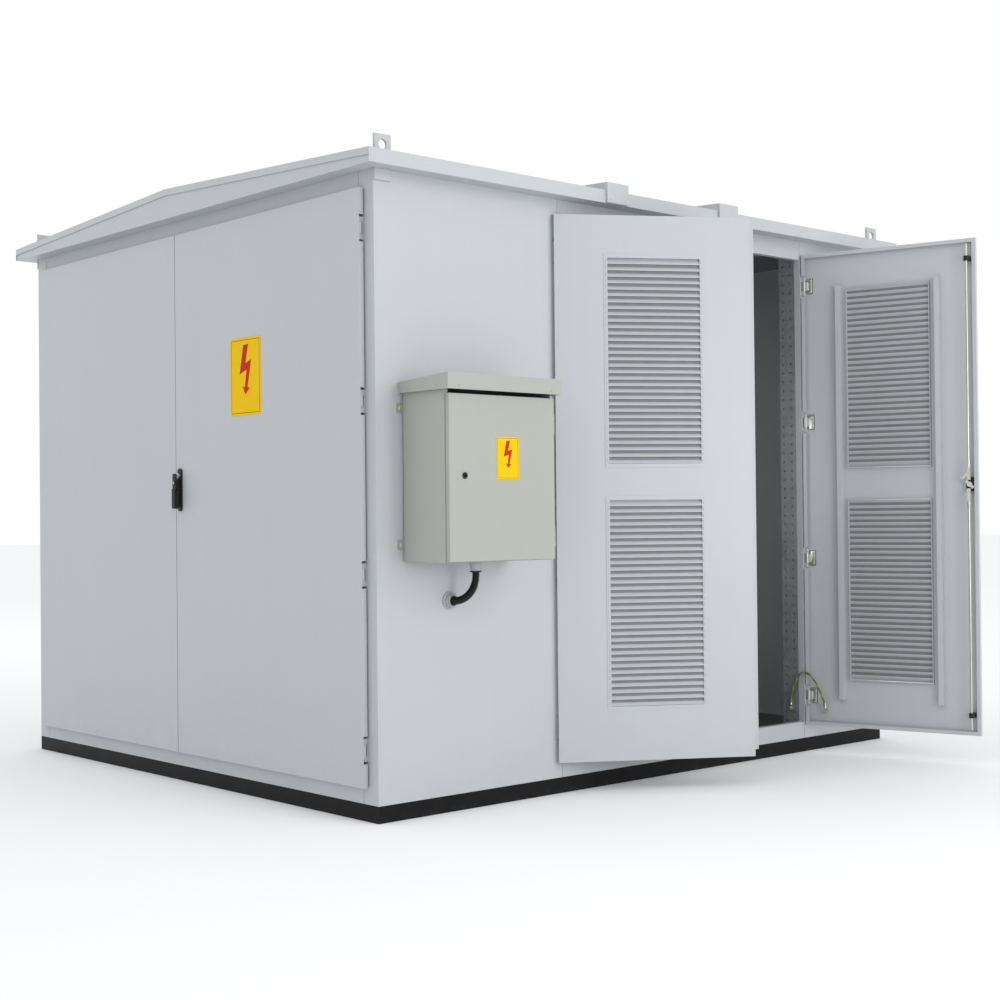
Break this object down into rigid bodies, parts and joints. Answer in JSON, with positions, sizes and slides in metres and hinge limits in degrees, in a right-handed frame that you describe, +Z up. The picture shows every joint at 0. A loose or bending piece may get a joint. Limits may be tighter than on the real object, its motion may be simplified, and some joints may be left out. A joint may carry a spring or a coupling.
{
  "type": "compact transformer substation kiosk",
  "caption": "Walk-in steel kiosk substation with louvred double doors, plain gable doors, low gable roof, wall meter box, and transformer and switchgear inside.",
  "frame": {"origin": "centre of the base's underside", "axes": "+X along the long side, away from the plain double doors' gable; -Y out of the side with the louvred doors and the meter box; +Z up"},
  "size_m": [3.11, 3.4025, 2.421],
  "materials": {
    "base_paint": "black semi-gloss paint",
    "grey_paint": "light grey powder coat",
    "inner_paint": "light grey powder coat, inside",
    "pebble_paint": "pebble grey powder coat",
    "galvanised": "hot-dip galvanised steel",
    "zinc": "zinc plated",
    "floor_steel": "chequered floor plate",
    "tank_paint": "grey-green transformer paint",
    "core_steel": "laminated electrical steel",
    "winding": "varnished copper winding",
    "copper": "bare copper",
    "porcelain": "brown glaze",
    "black_plastic": "black moulded plastic",
    "grey_plastic": "grey moulded plastic",
    "white_plastic": "off-white moulded plastic",
    "conduit_plastic": "black corrugated conduit",
    "cable_red": "red cable sheath",
    "earth_lead": "green and yellow insulation",
    "gear_paint": "switchgear grey paint"
  },
  "bodies": {
    "housing": {"base_frame": "base_paint", "floor_plates": "floor_steel", "frame_posts": "galvanised", "front_left_wall": "grey_paint", "front_right_wall": "grey_paint", "front_lintel": "grey_paint", "gable_lintel": "grey_paint", "rear_wall": "grey_paint", "end_wall": "grey_paint", "roof_sheets": "grey_paint", "roof_seam_caps": "grey_paint", "roof_fascia": "grey_paint", "roof_rafters": "galvanised", "lifting_eyes": "grey_paint", "partition_wall": "inner_paint", "rear_louvres": "grey_paint", "hinge_brackets": "zinc", "earth_bar": "copper", "box_body": "pebble_paint", "box_hood": "pebble_paint", "box_lugs": "zinc", "box_back_plate": "galvanised", "energy_meter": "white_plastic", "box_breakers": "white_plastic", "box_gland": "grey_plastic", "conduit": "conduit_plastic", "wall_gland": "grey_plastic", "transformer_tank": "tank_paint", "transformer_lid": "tank_paint", "transformer_core": "core_steel", "transformer_windings": "winding", "hv_bushings": "porcelain", "lv_bushings": "porcelain", "transformer_skids": "base_paint", "ring_main_unit": "gear_paint", "lv_switchboard": "gear_paint", "hv_cables": "cable_red", "lv_busbars": "copper", "front_earth_lead": "earth_lead"},
    "front_left_door": {"front_left_leaf": "grey_paint", "front_left_louvres": "grey_paint", "front_left_rails": "grey_paint"},
    "front_right_door": {"front_right_leaf": "grey_paint", "front_right_louvres": "grey_paint", "front_right_rails": "grey_paint", "front_lock": "black_plastic"},
    "front_spindle": {"front_lock_cam": "zinc"},
    "front_lever": {"front_handle": "black_plastic"},
    "front_rod_up": {"front_upper_rod": "zinc"},
    "front_rod_down": {"front_lower_rod": "zinc"},
    "gable_left_door": {"gable_left_leaf": "grey_paint"},
    "gable_right_door": {"gable_right_leaf": "grey_paint", "gable_lock": "black_plastic"},
    "gable_spindle": {"gable_lock_cam": "zinc"},
    "gable_lever": {"gable_handle": "black_plastic"},
    "meter_box_door": {"box_door": "pebble_paint"},
    "meter_box_lock": {"box_lock": "zinc"},
    "tap_changer": {"tap_knob": "black_plastic"},
    "ring_main_switch": {"ring_main_knob": "black_plastic"},
    "main_switch": {"main_switch_handle": "black_plastic"}
  },
  "joints": [
    {"name": "front_left_door_swing", "type": "hinge", "parent": "housing", "child": "front_left_door", "pos_m": [-0.616, -1.295, 1.165], "axis": [0, 0, -1], "range_deg": [-32.6, 67.4]},
    {"name": "front_right_door_swing", "type": "hinge", "parent": "housing", "child": "front_right_door", "pos_m": [0.922, -1.295, 1.165], "axis": [0, 0, 1], "range_deg": [-105, 5], "deforming": ["front_earth_lead"]},
    {"name": "front_lock_turn", "type": "hinge", "parent": "front_right_door", "child": "front_spindle", "pos_m": [1.11171, -2.00302, 1.175], "axis": [-0.9659, -0.2588, 0], "range_deg": [0, 90]},
    {"name": "front_lever_lift", "type": "hinge", "parent": "front_spindle", "child": "front_lever", "pos_m": [1.14021, -1.99539, 1.175], "axis": [0, 0, -1], "range_deg": [0, 40]},
    {"name": "front_upper_rod_throw", "type": "slide", "parent": "front_right_door", "child": "front_rod_up", "axis": [0, 0, 1], "range_m": [0, 0.025]},
    {"name": "front_lower_rod_throw", "type": "slide", "parent": "front_right_door", "child": "front_rod_down", "axis": [0, 0, -1], "range_m": [0, 0.0255]},
    {"name": "gable_left_door_swing", "type": "hinge", "parent": "housing", "child": "gable_left_door", "pos_m": [-1.495, 1.217, 1.165], "axis": [0, 0, -1], "range_deg": [0, 110]},
    {"name": "gable_right_door_swing", "type": "hinge", "parent": "housing", "child": "gable_right_door", "pos_m": [-1.495, -1.217, 1.165], "axis": [0, 0, 1], "range_deg": [0, 110]},
    {"name": "gable_lock_turn", "type": "hinge", "parent": "gable_right_door", "child": "gable_spindle", "pos_m": [-1.495, -0.024, 1.236], "axis": [-1, 0, 0], "range_deg": [0, 90]},
    {"name": "gable_lever_lift", "type": "hinge", "parent": "gable_spindle", "child": "gable_lever", "pos_m": [-1.5245, -0.024, 1.236], "axis": [0, 1, 0], "range_deg": [0, 40]},
    {"name": "meter_box_door_swing", "type": "hinge", "parent": "housing", "child": "meter_box_door", "pos_m": [-0.855, -1.516, 1.193], "axis": [0, 0, 1], "range_deg": [0, 90]},
    {"name": "meter_box_lock_turn", "type": "hinge", "parent": "meter_box_door", "child": "meter_box_lock", "pos_m": [-1.289, -1.53, 1.2], "axis": [0, 1, 0], "range_deg": [0, 90]},
    {"name": "tap_changer_turn", "type": "hinge", "parent": "housing", "child": "tap_changer", "pos_m": [0.88, 0, 1.06], "axis": [0, 0, 1], "range_deg": [-60, 60]},
    {"name": "ring_main_switch_turn", "type": "hinge", "parent": "housing", "child": "ring_main_switch", "pos_m": [-1.39, -0.76, 0.96], "axis": [1, 0, 0], "range_deg": [0, 90]},
    {"name": "main_switch_turn", "type": "hinge", "parent": "housing", "child": "main_switch", "pos_m": [-1.391, 0.19, 1.44], "axis": [1, 0, 0], "range_deg": [0, 90]}
  ],
  "couplings": [
    {"joint": "front_lock_turn", "follows": "front_upper_rod_throw", "rad_per_m": 62.832},
    {"joint": "front_lower_rod_throw", "follows": "front_upper_rod_throw", "ratio": 1}
  ]
}
